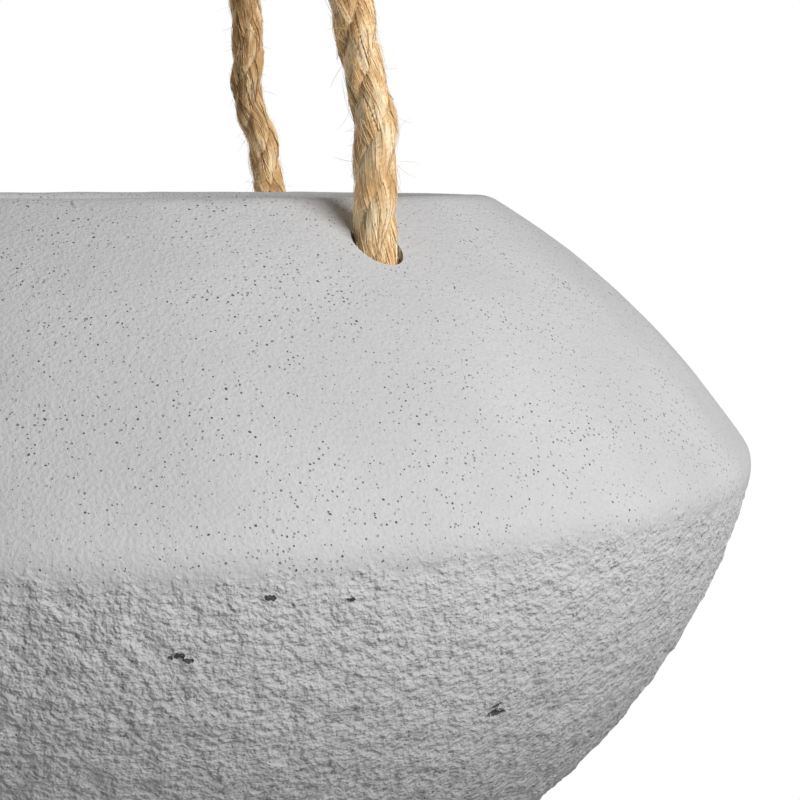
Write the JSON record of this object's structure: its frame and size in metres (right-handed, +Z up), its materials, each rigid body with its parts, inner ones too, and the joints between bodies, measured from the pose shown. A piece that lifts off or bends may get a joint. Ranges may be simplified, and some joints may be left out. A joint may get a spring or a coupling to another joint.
{
  "type": "hanging planter",
  "caption": "Round cast-stone hanging bowl planter with smooth shoulder and rough body, on jute ropes gathered under a steel ring.",
  "frame": {"origin": "where the hanging ring bears on its hook, at the inside top of the ring", "axes": "+Z up along the bowl's axis; the ring stands in the XZ plane, and the rope holes are at 60, 180 and 300 degrees from +X"},
  "size_m": [0.2887, 0.2886, 0.572],
  "materials": {
    "cast_stone": "smooth above the ridge, sandy below it",
    "jute_rope": "three-strand laid rope, hairy",
    "jute_twine": "thin laid twine",
    "ring_steel": "satin",
    "plug_rubber": "matt"
  },
  "bodies": {
    "ring": {"hanging_ring": "ring_steel"},
    "bowl": {"bowl": "cast_stone", "rope_right": "jute_rope", "rope_rear": "jute_rope", "rope_left": "jute_rope", "knot_right": "jute_rope", "knot_rear": "jute_rope", "knot_left": "jute_rope", "rope_eye": "jute_rope", "whipping": "jute_twine"},
    "plug": {"drain_plug": "plug_rubber"}
  },
  "joints": [
    {"name": "bowl_swing", "type": "hinge", "parent": "ring", "child": "bowl", "pos_m": [0, 0, -0.0375], "axis": [1, 0, 0], "range_deg": [-35, 35]},
    {"name": "plug_pull", "type": "slide", "parent": "bowl", "child": "plug", "axis": [0, 0, -1], "range_m": [0, 0.02]}
  ]
}
